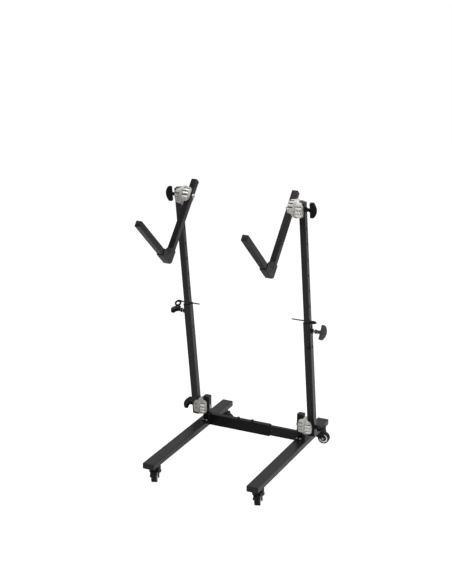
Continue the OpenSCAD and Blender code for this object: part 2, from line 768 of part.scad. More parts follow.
height_pin(1, 0);  // right_height_pin
pin_loop(-1, left_loop_swing, left_pin_out, 1);  // left_pin_loop
pin_loop(1, right_loop_swing, 0, -1);  // right_pin_loop
back_arm(-1);  // left_back_arm
back_arm(1);  // right_back_arm
bottom_arm(-1);  // left_bottom_arm
bottom_arm(1);  // right_bottom_arm
arm_elbow(-1);  // left_arm_elbow
arm_elbow(1);  // right_arm_elbow
arm_plugs(-1);  // left_arm_plugs
arm_plugs(1);  // right_arm_plugs
caster_place(-1, false, left_front_swivel) fork();  // front_left_fork
caster_place(1, false, right_front_swivel) fork();  // front_right_fork
caster_place(-1, true, rear_swivel) fork();  // rear_left_fork
caster_place(1, true, rear_swivel) fork();  // rear_right_fork
caster_place(-1, false, left_front_swivel) rim();  // front_left_rim
caster_place(1, false, right_front_swivel) rim();  // front_right_rim
caster_place(-1, true, rear_swivel) rim();  // rear_left_rim
caster_place(1, true, rear_swivel) rim();  // rear_right_rim
caster_place(-1, false, left_front_swivel) tyre();  // front_left_tyre
caster_place(1, false, right_front_swivel) tyre();  // front_right_tyre
caster_place(-1, true, rear_swivel) tyre();  // rear_left_tyre
caster_place(1, true, rear_swivel) tyre();  // rear_right_tyre
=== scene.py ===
"""A wheeled folding floor stand: black powder-coated tube, pale cast hinges, black moulded knobs.

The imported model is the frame. This script gives every node its finish, and rebuilds the cast,
moulded and turned pieces with the soft edges and small detail that the real ones have.
The frame's axes are +X right, +Y back and +Z up, and finishes are in metres. Pieces are drawn in
millimetres, as on the right-hand side, and add_piece turns them into metres and mirrors the left.
"""
import json
import math

import bmesh
import bpy
from mathutils import Matrix, Vector


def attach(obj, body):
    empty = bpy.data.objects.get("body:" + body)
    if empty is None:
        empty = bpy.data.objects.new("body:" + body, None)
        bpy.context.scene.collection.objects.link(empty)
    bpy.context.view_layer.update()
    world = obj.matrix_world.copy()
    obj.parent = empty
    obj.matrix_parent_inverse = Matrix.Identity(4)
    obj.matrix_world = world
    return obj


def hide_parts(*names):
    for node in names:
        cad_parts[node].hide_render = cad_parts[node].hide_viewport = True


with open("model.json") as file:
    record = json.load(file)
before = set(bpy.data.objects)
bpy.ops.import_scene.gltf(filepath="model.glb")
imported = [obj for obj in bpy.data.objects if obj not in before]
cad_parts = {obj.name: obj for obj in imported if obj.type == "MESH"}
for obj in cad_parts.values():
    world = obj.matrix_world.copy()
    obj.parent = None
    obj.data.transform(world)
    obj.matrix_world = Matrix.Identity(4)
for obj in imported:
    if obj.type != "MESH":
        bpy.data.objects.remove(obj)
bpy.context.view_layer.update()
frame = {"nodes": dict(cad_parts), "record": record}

MM = 0.001
SIDES = {"left": -1, "right": 1}


# ------------------------------------------------------------------ camera
# The photograph's view, solved from the stand's own edges
VIEW_TURN = math.radians(26.06)
VIEW_DROP = math.radians(18.247)
VIEW_FROM = Vector((2.14806, -4.48512, 2.39455))
FOCAL_PX = 1306.22
FRAME_HEIGHT_PX = 584
SENSOR_MM = 36
CLIP_END = 200


def add_camera():
    data = bpy.data.cameras.new("camera")
    data.sensor_width = SENSOR_MM
    data.lens = FOCAL_PX * SENSOR_MM / FRAME_HEIGHT_PX
    data.clip_end = CLIP_END
    camera = bpy.data.objects.new("camera", data)
    camera.location = VIEW_FROM
    camera.rotation_euler = (math.pi / 2 - VIEW_DROP, 0, VIEW_TURN)
    bpy.context.scene.collection.objects.link(camera)
    bpy.context.scene.camera = camera


add_camera()
bpy.context.scene.view_settings.view_transform = "Standard"


# ------------------------------------------------------------------ shader maths
# Sockets of a Mix node, by number: its factor, then its pair of numbers or its pair of colours
MIX_FACTOR = 0
MIX_NUMBERS, MIX_NUMBER_OUT = (2, 3), 0
MIX_COLOURS, MIX_COLOUR_OUT = (6, 7), 2


class Wire:
    """A shader socket. Python's operators add Math nodes to its network."""

    def __init__(self, network, socket):
        self.network = network
        self.socket = socket

    def maths(self, operation, *values):
        return self.network.node("ShaderNodeMath", {"operation": operation}, values)

    def __add__(self, other): return self.maths("ADD", self, other)
    def __radd__(self, other): return self.maths("ADD", other, self)
    def __mul__(self, other): return self.maths("MULTIPLY", self, other)
    def __rmul__(self, other): return self.maths("MULTIPLY", other, self)

    def clipped(self, low, high):
        """This value, with low to high spread over 0 to 1 and cut off there."""
        settings = {"interpolation_type": "SMOOTHSTEP"}
        return self.network.node("ShaderNodeMapRange", settings, (self, low, high, 0.0, 1.0))


class Network:
    """The shader nodes of a material or of the world."""

    def __init__(self, tree):
        self.tree = tree

    def node(self, kind, settings=None, inputs=(), output=0):
        """Adds a node: its settings first, then the values or links of its sockets."""
        made = self.tree.nodes.new(kind)
        for key, value in (settings or {}).items():
            setattr(made, key, value)
        pairs = inputs.items() if isinstance(inputs, dict) else enumerate(inputs)
        for key, value in pairs:
            if isinstance(value, Wire):
                self.join(value, made.inputs[key])
            else:
                made.inputs[key].default_value = value
        return Wire(self, made.outputs[output])

    def join(self, wire, socket):
        self.tree.links.new(wire.socket, socket)


class Finish(Network):
    """A procedural material, read at rest positions in metres."""

    def __init__(self, name, **surface):
        self.material = bpy.data.materials.new(name)
        self.material.use_nodes = True
        super().__init__(self.material.node_tree)
        self.shader = self.tree.nodes["Principled BSDF"]
        for socket, value in surface.items():
            self.shader.inputs[socket.replace("_", " ")].default_value = value
        self.place = self.node("ShaderNodeTexCoord", output="Object")

    def noise(self, size, detail, stretch=(1, 1, 1)):
        """Noise from 0 to 1 whose lumps are about size metres across."""
        where = self.node("ShaderNodeMapping", inputs={"Vector": self.place, "Scale": stretch})
        return self.node("ShaderNodeTexNoise", inputs={
            "Vector": where, "Scale": 1 / size, "Detail": detail, "Roughness": 0.55})

    def cells(self, size):
        """Distance to the nearest cell point, for cells about size metres across."""
        return self.node("ShaderNodeTexVoronoi", inputs={
            "Vector": self.place, "Scale": 1 / size}, output="Distance")

    def blend(self, mask, first, second):
        """Colour first where mask is 0, colour second where it is 1."""
        inputs = {MIX_FACTOR: mask}
        for socket, colour in zip(MIX_COLOURS, (first, second)):
            inputs[socket] = colour if isinstance(colour, Wire) else (*colour, 1)
        return self.node("ShaderNodeMix", {"data_type": "RGBA"}, inputs, MIX_COLOUR_OUT)

    def set(self, socket, wire):
        self.join(wire, self.shader.inputs[socket])

    def bump(self, height, depth):
        """Raises the surface by height times depth metres."""
        relief = self.node("ShaderNodeBump", inputs={
            "Strength": 1.0, "Distance": depth, "Height": height}, output="Normal")
        self.set("Normal", relief)


# ------------------------------------------------------------------ finishes
# A finish's tone scales its colours: less is darker. Bump depths are in metres.
def toned(colour, tone):
    return tuple(tone * part for part in colour)


def cool_black(level):
    """A black that leans a little to blue."""
    return (level, level, level * 1.06)


def powder_coat(name="black powder coat", shine=0.22, tone=1.0):
    """Black powder coat: a fine pebbled skin, semi-gloss, with a little dust."""
    f = Finish(name, Specular_IOR_Level=shine)
    pebble = f.noise(0.0011, detail=2.0)
    orange_peel = f.noise(0.006, detail=2.0)
    clouds = f.noise(0.09, detail=4.0)
    dust = f.noise(0.02, detail=5.0).clipped(0.5, 0.8) * 0.5
    deep, pale, dusty = [cool_black(level * tone) for level in (0.006, 0.01, 0.02)]
    f.set("Base Color", f.blend(dust, f.blend(clouds, deep, pale), dusty))
    f.set("Roughness", 0.24 + 0.08 * clouds + 0.12 * dust)
    f.bump(pebble * 0.6 + orange_peel * 0.6, 0.0001)
    return f.material


def moulded_plastic(name="black moulded plastic", shine=0.22, tone=0.75):
    """Black moulded plastic, satin with a fine spark-eroded grain."""
    f = Finish(name, Specular_IOR_Level=shine)
    grain = f.noise(0.0006, detail=2.0)
    clouds = f.noise(0.03, detail=3.0)
    f.set("Base Color", f.blend(clouds, cool_black(0.008 * tone), cool_black(0.016 * tone)))
    f.set("Roughness", 0.38 + 0.14 * clouds)
    f.bump(grain, 0.00005)
    return f.material


def raw_casting(name="raw casting", tone=1.0):
    """Raw die-cast hinge: warm light grey, sandy, pitted and a little stained."""
    f = Finish(name, Metallic=0.25)
    sand = f.noise(0.0009, detail=3.0)
    stain = f.noise(0.012, detail=4.0).clipped(0.35, 0.75)
    pits = f.cells(0.0025).clipped(0.0, 0.25)
    light, stained, pitted = [toned(colour, tone) for colour in (
        (0.56, 0.55, 0.52), (0.42, 0.41, 0.385), (0.33, 0.32, 0.3))]
    f.set("Base Color", f.blend(pits, pitted, f.blend(stain, light, stained)))
    f.set("Roughness", 0.5 + 0.15 * stain)
    f.bump(sand * 0.6 + pits * 0.4, 0.00012)
    return f.material


def lit_pocket_casting():
    """The floors of the castings' cored pockets, in painted light: a near-white casting colour for
    where they catch the light.
    """
    f = Finish("painted light casting", Metallic=0.15)
    sand = f.noise(0.0012, detail=3.0)
    f.set("Base Color", f.blend(sand, (0.86, 0.85, 0.82), (0.97, 0.96, 0.94)))
    f.set("Roughness", 0.42 + 0.12 * sand)
    f.bump(sand, 0.00008)
    return f.material


def plated_steel(name="plated steel", tone=1.0):
    """Zinc-plated steel, brushed by handling."""
    f = Finish(name, Metallic=1.0)
    streaks = f.noise(0.0008, detail=2.0, stretch=(0.05, 1, 1))
    clouds = f.noise(0.01, detail=3.0)
    light, dark = [toned(colour, tone) for colour in ((0.56, 0.555, 0.53), (0.42, 0.415, 0.395))]
    f.set("Base Color", f.blend(clouds, light, dark))
    f.set("Roughness", 0.24 + 0.16 * streaks)
    f.bump(streaks, 0.00003)
    return f.material


def black_steel():
    """Black-oxide steel of the crossbar's clamp bolts."""
    f = Finish("black oxide steel", Metallic=0.6)
    clouds = f.noise(0.004, detail=3.0)
    f.set("Base Color", f.blend(clouds, (0.012, 0.012, 0.013), (0.035, 0.034, 0.034)))
    f.set("Roughness", 0.3 + 0.15 * clouds)
    f.bump(clouds, 0.00006)
    return f.material


def white_nylon():
    """White moulded wheel centre, slightly yellowed and dusty."""
    f = Finish("white nylon", Specular_IOR_Level=0.5)
    clouds = f.noise(0.01, detail=4.0)
    f.set("Base Color", f.blend(clouds, (0.97, 0.97, 0.95), (0.89, 0.885, 0.86)))
    f.set("Roughness", 0.35 + 0.15 * clouds)
    f.bump(clouds, 0.00005)
    return f.material


def tyre_rubber():
    """Black rubber tread, matt with a scuffed face."""
    f = Finish("tyre rubber", Specular_IOR_Level=0.1)
    scuff = f.noise(0.004, detail=5.0)
    f.set("Base Color", f.blend(scuff, (0.007, 0.007, 0.007), (0.022, 0.021, 0.02)))
    f.set("Roughness", 0.55 + 0.25 * scuff)
    f.bump(scuff, 0.00012)
    return f.material


FINISHES = {
    "black_paint": powder_coat(),
    # Darker copies of the powder coat for the posts, the crossbar and the bottom arms: their
    # darkness is painted shade
    "deep_paint": powder_coat("black powder coat, deep painted shade", shine=0.12, tone=0.45),
    "even_paint": powder_coat("black powder coat, light painted shade", shine=0.16, tone=0.7),
    "black_plastic": moulded_plastic(),
    # A darker copy of the moulded plastic for the knobs, pull loops and hole rims: its darkness is
    # painted shade
    "knob_plastic": moulded_plastic("shaded black plastic", shine=0.09, tone=0.45),
    # A much lighter, shinier copy of the moulded plastic for the right height knob: its lightness
    # is a painted sheen
    "handled_plastic": moulded_plastic("black plastic with painted sheen", shine=0.35, tone=3.5),
    "casting": raw_casting(),
    "stained_casting": raw_casting("stained casting", tone=0.72),
    # A very dark copy of the casting: painted shade along the top of each pocket
    "pocket_shade_casting": raw_casting("pocket shade casting", tone=0.12),
    # Painted light: the near-white floors of the pockets that face the light
    "lit_pocket_casting": lit_pocket_casting(),
    "steel": plated_steel(),
    "dull_steel": plated_steel("dull plated steel", tone=0.25),
    "black_steel": black_steel(),
    "wheel_white": white_nylon(),
    "tyre_rubber": tyre_rubber(),
}
# Nodes that look darker, greyer or duller than their slot, by how their names end. The darker paint
# and plastic are painted shade, and the greyer plastic is a painted sheen
OWN_FINISH = {
    "inner_crossbar": "even_paint", "outer_crossbar": "deep_paint",
    "_post": "deep_paint", "_bottom_arm": "deep_paint",
    "_knob": "knob_plastic", "right_height_knob": "handled_plastic", "_pin_loop": "knob_plastic",
    "_height_pin": "dull_steel",
}
NODE_FINISH = {row["node"]: row["material_slot"] for row in frame["record"]["subparts"]}
for node in NODE_FINISH:
    for ending, finish in OWN_FINISH.items():
        if node.endswith(ending):
            NODE_FINISH[node] = finish
    # The left castings get a darker copy of the casting.
    if node.startswith("left_") and node.endswith("casting"):
        NODE_FINISH[node] = "stained_casting"


def finish_nodes():
    for name, node in frame["nodes"].items():
        node.data.materials.clear()
        node.data.materials.append(FINISHES[NODE_FINISH[name]])


finish_nodes()


# ------------------------------------------------------------------ mesh tools
NODE_BODY = {node: body for body, nodes in frame["record"]["behaviour"]["bodies"].items()
             for node in nodes}
MIRROR = Matrix.Scale(-1, 4, (1, 0, 0))
HERE = Matrix.Identity(4)
ALONG_X = Matrix.Rotation(math.pi / 2, 4, "Y")   # turns a shape drawn along Z to lie along X


def at(x, y, z):
    return Matrix.Translation((x, y, z))


def turned(degrees, axis):
    return Matrix.Rotation(math.radians(degrees), 4, axis)


def around(count):
    """Angles that share out a full turn."""
    return [2 * math.pi * i / count for i in range(count)]


def circle(radius, count):
    return [(radius * math.cos(a), radius * math.sin(a)) for a in around(count)]


def soft_box(width, height, power=5.0, count=28):
    """Outline of a rectangle with soft corners, which a higher power makes sharper."""
    out = []
    for a in around(count):
        c, s = math.cos(a), math.sin(a)
        out.append((width / 2 * math.copysign(abs(c) ** (2 / power), c),
                    height / 2 * math.copysign(abs(s) ** (2 / power), s)))
    return out


def smooth_path(points, steps=8):
    """A curve through all the points, with steps points from each to the next."""
    p = [Vector(q) for q in points]
    p = [2 * p[0] - p[1]] + p + [2 * p[-1] - p[-2]]
    out = []
    for a, b, c, d in zip(p, p[1:], p[2:], p[3:]):
        for i in range(steps):
            t = i / steps
            out.append(0.5 * (2 * b + (c - a) * t + (2 * a - 5 * b + 4 * c - d) * t * t
                              + (3 * b - a - 3 * c + d) * t * t * t))
    return out + [p[-2]]


class Shape:
    """A mesh in the making, in millimetres. Rings of points are skinned into closed forms."""

    POINT = 0.02           # the radius that stands for none, where a turned form ends
    CHAMFER = 0.192        # the share of a bolt head's height that its turned-off corners take
    FLAT = 0.87            # the radius that they are turned off to, as a share of the head's

    def __init__(self, place=HERE):
        self.bm = bmesh.new()
        self.place = place

    def skin(self, rings, closed=False):
        """Joins rings with the same number of points. The two ends are capped, or joined."""
        made = [[self.bm.verts.new(self.place @ Vector(p)) for p in ring] for ring in rings]
        count = len(made[0])
        for low, high in zip(made, made[1:] + made[:1] if closed else made[1:]):
            for i in range(count):
                j = (i + 1) % count
                self.bm.faces.new((low[i], low[j], high[j], high[i]))
        if not closed:
            self.bm.faces.new(made[0][::-1])
            self.bm.faces.new(made[-1])
        return self

    def lathe(self, profile, segments=40, place=HERE):
        """Turns a profile of (height, radius) pairs round Z, and caps its ends."""
        return self.skin([[place @ Vector((*p, h)) for p in circle(max(r, self.POINT), segments)]
                          for h, r in profile])

    def ring(self, outline, segments, place):
        """Turns a closed outline of (height, radius) pairs round Z."""
        return self.skin([[place @ Vector((r * math.cos(a), r * math.sin(a), h))
                           for h, r in outline] for a in around(segments)], closed=True)

    def sweep(self, path, section, closed=False, side=(0, 0, 1)):
        """Carries a flat section of (across, up) points along a path."""
        points = [Vector(p) for p in path]
        rings = []
        for i, point in enumerate(points):
            before = points[i - 1] if i or closed else point
            after = points[(i + 1) % len(points)] if i + 1 < len(points) or closed else point
            ahead = (after - before).normalized()
            across = ahead.cross(Vector(side)).normalized()
            up = across.cross(ahead)
            rings.append([point + across * a + up * b for a, b in section])
        return self.skin(rings, closed)

    def hexagon(self, radius, height, place=HERE):
        """A hexagon head along Z with its corners turned off."""
        side = math.pi / 3
        rings = []
        for h, largest in ((0, radius), (height * (1 - self.CHAMFER), radius),
                           (height, self.FLAT * radius)):
            ring = []
            for a in around(36):
                corner = radius * math.cos(side / 2) / math.cos(a % side - side / 2)
                reach = min(corner, largest)
                ring.append(place @ Vector((reach * math.cos(a), reach * math.sin(a), h)))
            rings.append(ring)
        return self.skin(rings)


def finish_mesh(bm, name, sharp):
    bmesh.ops.recalc_face_normals(bm, faces=bm.faces)
    mesh = bpy.data.meshes.new(name)
    bm.to_mesh(mesh)
    bm.free()
    for face in mesh.polygons:
        face.use_smooth = True
    mesh.set_sharp_from_angle(angle=math.radians(sharp))
    return mesh


def add_piece(name, bm, finish, body, replaced=(), side=1, sharp=38, millimetres=True):
    """Makes one piece of the stand from a mesh, with its finish, body and CAD nodes.

    Edges that turn by more than sharp degrees stay crisp.
    """
    if millimetres:
        bm.transform(Matrix.Scale(MM, 4))
    if side < 0:
        bm.transform(MIRROR)
    piece = bpy.data.objects.new(name, finish_mesh(bm, name, sharp))
    bpy.context.scene.collection.objects.link(piece)
    piece.data.materials.append(FINISHES[finish])
    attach(piece, body)
    if replaced:
        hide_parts(*replaced)
    return piece


def cad_mesh(node):
    bm = bmesh.new()
    bm.from_mesh(frame["nodes"][node].data)
    bmesh.ops.remove_doubles(bm, verts=bm.verts, dist=1e-6)
    return bm


def bevelled(node, width, segments=3):
    """The CAD node's own shape with its sharp edges rounded off, width millimetres wide."""
    flat, hard_edge = math.radians(1.5), math.radians(28)
    bm = cad_mesh(node)
    bmesh.ops.dissolve_limit(bm, angle_limit=flat, verts=bm.verts, edges=bm.edges)
    hard = [e for e in bm.edges if len(e.link_faces) == 2 and e.calc_face_angle(0) > hard_edge]
    bmesh.ops.bevel(bm, geom=hard, offset=width * MM, segments=segments, profile=0.5,
                    affect="EDGES", clamp_overlap=True)
    add_piece(node + ".soft", bm, NODE_FINISH[node], NODE_BODY[node], (node,),
              sharp=50, millimetres=False)


def moulded(node, voxel, rounds):
    """The CAD node's shape as one moulded or cast skin, with every edge and corner softened."""
    piece = add_piece(node + ".skin", cad_mesh(node), NODE_FINISH[node], NODE_BODY[node], (node,),
                      sharp=60, millimetres=False)
    remesh = piece.modifiers.new("one skin", "REMESH")
    remesh.mode = "VOXEL"
    remesh.voxel_size = voxel * MM
    remesh.use_smooth_shade = True
    soften = piece.modifiers.new("soften", "SMOOTH")
    soften.iterations = rounds
    soften.factor = 0.5


# ------------------------------------------------------------------ the stand's own places, in mm
LEG_TOP, PLATE_T = 92, 3
POST_X, POST_W = 220, 28
BAR_TOP, BAR_H, BAR_END = 122, 50, 205.6
FOLD = (173.162, 152)          # the pivot at the foot of each upright: back, and up
TILT = (28.308, 1121.236)      # the pivot that carries each arm
FOLD_Y = FOLD[0]
HINGE_SPAN = 980               # from one pivot to the other, along the upright
LEAN, ARM_TILT = 8.5, 42       # degrees
UPRIGHT_X, LOWER_W, UPPER_W = 271, 30, 25
LOWER_OUT, UPPER_OUT = UPRIGHT_X + LOWER_W / 2, UPRIGHT_X + UPPER_W / 2
SPARE_UP, CLAMP_UP, PIN_UP = 380, 453, 494.3      # up the upright: spare hole, knob and pin
UPRIGHT = at(0, *FOLD) @ turned(LEAN, "X")
ARM = at(0, *TILT) @ turned(-ARM_TILT, "X")


def side_of(name):
    return SIDES["left" if "left" in name else "right"]


# ------------------------------------------------------------------ castings
FOLD_HINGE_X, FOLD_DISC = 245, 11
TILT_HINGE_X, TILT_DISC = 245.5, 13
# Each casting's frame, its hinge's middle, which way its lugs point, its disc and its tube
CASTINGS = {
    "fold_base_casting": (at(0, *FOLD), FOLD_HINGE_X, -1, FOLD_DISC, POST_W),
    "fold_swing_casting": (UPRIGHT, FOLD_HINGE_X, 1, FOLD_DISC, LOWER_W),
    "tilt_upright_casting": (UPRIGHT @ at(0, 0, HINGE_SPAN), TILT_HINGE_X, 1, TILT_DISC, UPPER_W),
    "tilt_arm_casting": (ARM, TILT_HINGE_X, -1, TILT_DISC, UPPER_W),
}
LUG_R, LUG_COVER, LUG_WALL = 35, 20, 3
POCKET_D, POCKET_H, POCKET_STEP, POCKET_SIDE = 9, 10.5, 15, 5
FLOOR_GAP, FLOOR_SINK = 0.1, 0.3     # clear of the pocket's top and bottom, and into its back
# Height of the strip of painted shade at each pocket's top
SHADE_STRIP_H = 4


def pocket_floors(node, place, middle, way, disc, tube_w):
    """A floor in each cored pocket, leaning back to catch the light, with a strip of painted shade
    at its top.
    """
    floors, shade_strip = Shape(place), Shape(place)
    ends = (middle + way * (POCKET_SIDE + 2 * FLOOR_GAP),
            middle + way * (disc + LUG_COVER - POCKET_SIDE - 2 * FLOOR_GAP))
    for face in (-1, 1):
        for step in (-1, 0, 1):
            up = step * POCKET_STEP
            back = max(tube_w / 2 + LUG_WALL, math.sqrt(LUG_R ** 2 - up ** 2) - POCKET_D)
            sunk = back - FLOOR_SINK
            low, top = up - POCKET_H / 2 + FLOOR_GAP, up + POCKET_H / 2 - FLOOR_GAP
            part = top - SHADE_STRIP_H
            for shape, outline in (
                    (floors, [(sunk, low), (sunk, part), (back + 4.2, part),
                              (back + 5.4, low + 2.6), (back + 6.2, low + 1.0), (back + 6.3, low)]),
                    (shade_strip, [(sunk, part), (sunk, top), (back + 1.6, top),
                             (back + 2.4, top - 1.2), (back + 3.2, part)])):
                shape.skin([[(x, face * y, z) for y, z in outline] for x in ends])
    side = side_of(node)
    # Only pockets of lugs that point right, to +X, get the near-white floors: painted light on the
    # side the light falls on.
    finish = "lit_pocket_casting" if way * side > 0 else NODE_FINISH[node]
    body = NODE_BODY[node]
    add_piece(node + ".pockets", floors.bm, finish, body, side=side, sharp=40)
    add_piece(node + ".grime", shade_strip.bm, "pocket_shade_casting", body, side=side, sharp=40)


for node in frame["nodes"]:
    if "casting" in node:
        moulded(node, voxel=0.8, rounds=3)
        pocket_floors(node, *CASTINGS[node.split("_", 1)[1]])


# ------------------------------------------------------------------ knobs
WING_LEN, WING_MID, WING_END, WING_WIDE = 62, 27, 15, 17
WING_SOFT, WING_WAIST, WING_RINGS = 3.2, 0.1, 26
NECK, LONG_NECK = 17, 28
SEAT_GAP = 0.3             # from a tube to the knob or loop that is against it
BOSS_LEN, BOSS_R = 10, 10  # the welded boss that the height knob's screw goes into
CUP = 5.5                  # how far the height knob stands off its boss
SCREW_FROM, SCREW_ROOT, SCREW_CREST, SCREW_PITCH, SCREW_TURNS = -1.5, 3.4, 4.0, 1.1, 8
KNOB_TURN = {"left": {"fold": 111, "tilt": 8, "height": 81},
             "right": {"fold": 80, "tilt": 8, "height": -42}}


def wing(shape, seat, place):
    """The knob's bar: flat towards the stand, bowed outside, with every corner rounded."""
    half = WING_LEN / 2
    rings = []
    for i in range(WING_RINGS + 1):
        s = math.sin(math.pi * (i / WING_RINGS - 0.5))     # closer rings near the rounded ends
        past = max(half * abs(s) - (half - WING_SOFT), 0)
        inset = WING_SOFT - math.sqrt(max(WING_SOFT ** 2 - past ** 2, 0.05))
        thick = WING_END + (WING_MID - WING_END) * (1 - s * s)
        wide = WING_WIDE * (1 - WING_WAIST * (1 - s * s))
        rings.append([place @ Vector((seat + thick / 2 + x * (1 - 2 * inset / thick),
                                      y * (1 - 2 * inset / wide), half * s))
                      for x, y in soft_box(thick, wide)])
    shape.skin(rings)


def knob(node, place, neck, turn):
    """A clamp knob: a waisted neck that flares into the bar, and a screw where one shows."""
    side, body = side_of(node), NODE_BODY[node]
    place = place @ turned(turn, "X")
    along = place @ ALONG_X
    seat = CUP if "height" in node else 0.0
    shape = Shape()
    wing(shape, neck, place)
    shape.lathe([(seat, 5.5), (seat, 8.6), (seat + 0.7, 9.3), (seat + 4, 9.3), (seat + 5, 8.2),
                 (neck - 6, 6.6), (neck - 2.5, 7.6), (neck + 1, 9.5), (neck + 4, 9.5)],
                place=along)
    add_piece(node + ".body", shape.bm, NODE_FINISH[node], body, (node,), side, sharp=42)
    if seat:
        thread = [(SCREW_FROM, 0), (SCREW_FROM, SCREW_ROOT)]
        for i in range(SCREW_TURNS):
            root = SCREW_FROM + i * SCREW_PITCH
            thread += [(root, SCREW_ROOT), (root + SCREW_PITCH / 2, SCREW_CREST)]
        thread += [(seat + 2, SCREW_ROOT), (seat + 2, 0)]
        screw = Shape().lathe(thread, 24, along)
        add_piece(node + ".screw", screw.bm, "steel", body, side=side, sharp=20)


for name, turn in KNOB_TURN.items():
    knob(f"{name}_fold_knob", at(LOWER_OUT + SEAT_GAP, *FOLD), NECK, turn["fold"])
    knob(f"{name}_tilt_knob", at(UPPER_OUT + SEAT_GAP, *TILT), NECK, turn["tilt"])
    knob(f"{name}_height_knob", UPRIGHT @ at(LOWER_OUT + BOSS_LEN, 0, CLAMP_UP), LONG_NECK,
         turn["height"])


# ------------------------------------------------------------------ pins and pull loops
PIN_LEN, PIN_R, PIN_NECK_R = 98, 3, 2.45
LEFT_PIN_OUT = 15
LOOP_R, LOOP_BAR = 15, 4
LOOP_X = UPPER_OUT + SEAT_GAP + LOOP_R
LOOP_OFF = LOOP_R - LOOP_BAR           # from the pin's axis to the middle of the ring
STRAP_BOW, STRAP_W, STRAP_T = 39, 3.6, 2.2
TAB_X, TAB_Y, TAB_R, TAB_HALF_T = LOWER_OUT - 8, 17.7, 6, 1.5


def pin(name, side, out):
    """A turned pin with a rounded nose and a groove behind it."""
    low = LOOP_X - PIN_LEN
    profile = [(low, 0), (low, 1.2), (low + 0.5, 2.0), (low + 1.6, 2.75), (low + 2.6, PIN_R),
               (low + 8, PIN_R), (low + 8.4, PIN_NECK_R), (low + 10.6, PIN_NECK_R),
               (low + 11, PIN_R), (LOOP_X - 0.6, PIN_R), (LOOP_X, 2.4), (LOOP_X, 0)]
    shape = Shape().lathe(profile, 28, UPRIGHT @ at(out, 0, PIN_UP) @ ALONG_X)
    add_piece(name + ".turned", shape.bm, NODE_FINISH[name], NODE_BODY[name], (name,), side,
              sharp=30)


def pull_loop(name, side, swing, out, way):
    """A moulded ring on the pin's end, with a strap that bows round the height knob to its tab.

    swing is how far the ring has turned round the pin, from hanging, and out is how far the
    pin is drawn. The strap passes the knob in front where way is -1, and behind where it is 1.
    """
    shape = Shape(UPRIGHT @ at(out, 0, 0))
    hang = at(LOOP_X, 0, PIN_UP) @ turned(-swing, "X") @ at(0, 0, -LOOP_OFF)
    ring = [hang @ Vector((x, 0, z)) for x, z in circle(LOOP_OFF, 56)]
    shape.sweep(ring, circle(LOOP_BAR, 16), closed=True, side=hang.to_3x3() @ Vector((0, 1, 0)))
    hub, end = LOOP_X - LOOP_OFF, LOOP_X + LOOP_BAR
    shape.lathe([(hub, 3.1), (hub, 4.6), (hub + 0.8, 5.4), (hub + 3, 5.4), (hub + 3.6, 4.9),
                 (LOOP_X - 5, 4.9), (LOOP_X - 4.4, 5.4), (LOOP_X + 3, 5.4), (end, 4.4), (end, 0)],
                32, at(0, 0, PIN_UP) @ ALONG_X)
    route = smooth_path([(LOOP_X - LOOP_OFF / 2, way * 4, PIN_UP),
                         (LOWER_OUT + 11, way * STRAP_BOW, CLAMP_UP + 18),
                         (LOWER_OUT + 5.5, way * STRAP_BOW, CLAMP_UP - 18),
                         (LOWER_OUT, way * 27.6, CLAMP_UP - 45),
                         (TAB_X, way * (TAB_Y + TAB_HALF_T), SPARE_UP)])
    shape.sweep(route, soft_box(STRAP_W, STRAP_T, 4, 16), side=(0.2, way, 0.3))
    shape.lathe([(-TAB_HALF_T, 0), (-TAB_HALF_T, TAB_R - 0.8), (-0.8, TAB_R), (0.8, TAB_R),
                 (TAB_HALF_T, TAB_R - 0.8), (TAB_HALF_T, 2.6), (1.1, 2.2), (1.1, 0)],
                32, at(TAB_X, way * TAB_Y, SPARE_UP) @ turned(-90 * way, "X"))
    add_piece(name + ".moulded", shape.bm, NODE_FINISH[name], NODE_BODY[name], (name,), side,
              sharp=50)


pin("right_height_pin", 1, 0)
pin("left_height_pin", -1, LEFT_PIN_OUT)
pull_loop("right_pin_loop", 1, swing=108, out=0, way=-1)
pull_loop("left_pin_loop", -1, swing=61, out=LEFT_PIN_OUT, way=1)


# ------------------------------------------------------------------ height holes
HOLE_PITCH, HOLE_COUNT = 68, 6
HOLE_R, HOLE_SHADE_R, HOLE_SHADE_T = 3.05, 5.8, 0.15


def hole_shade_rims(tube, side, half, heights):
    """Painted shade round each hole: a thin dark flat ring on both faces of the tube."""
    shape = Shape(UPRIGHT)
    middle, wide, thick = (HOLE_R + HOLE_SHADE_R) / 2, (HOLE_SHADE_R - HOLE_R) / 2, HOLE_SHADE_T
    section = [(-wide, -thick), (wide, -thick), (wide, thick), (-wide, thick)]
    for height in heights:
        for face in (UPRIGHT_X - half, UPRIGHT_X + half):
            ring = [(face, y, height + z) for y, z in circle(middle, 24)]
            shape.sweep(ring, section, closed=True, side=(1, 0, 0))
    add_piece(tube + "_hole_shade_rims", shape.bm, "knob_plastic", NODE_BODY[tube], side=side,
              sharp=30)


for name, side in SIDES.items():
    hole_shade_rims(f"{name}_upper_tube", side, UPPER_W / 2,
               [PIN_UP + HOLE_PITCH * (i + 1) for i in range(HOLE_COUNT)])
    hole_shade_rims(f"{name}_lower_tube", side, LOWER_W / 2, [SPARE_UP])


# ------------------------------------------------------------------ the strap's wire link
LINK_X, LINK_WIDE, LINK_LOW, LINK_TOP, LINK_R = LOWER_OUT + 17.5, 12.4, -24, 10.65, 0.65
LINK_TILT, LINK_TAPER = 1.4, 0.16      # it hangs a little outward, and narrows towards its top


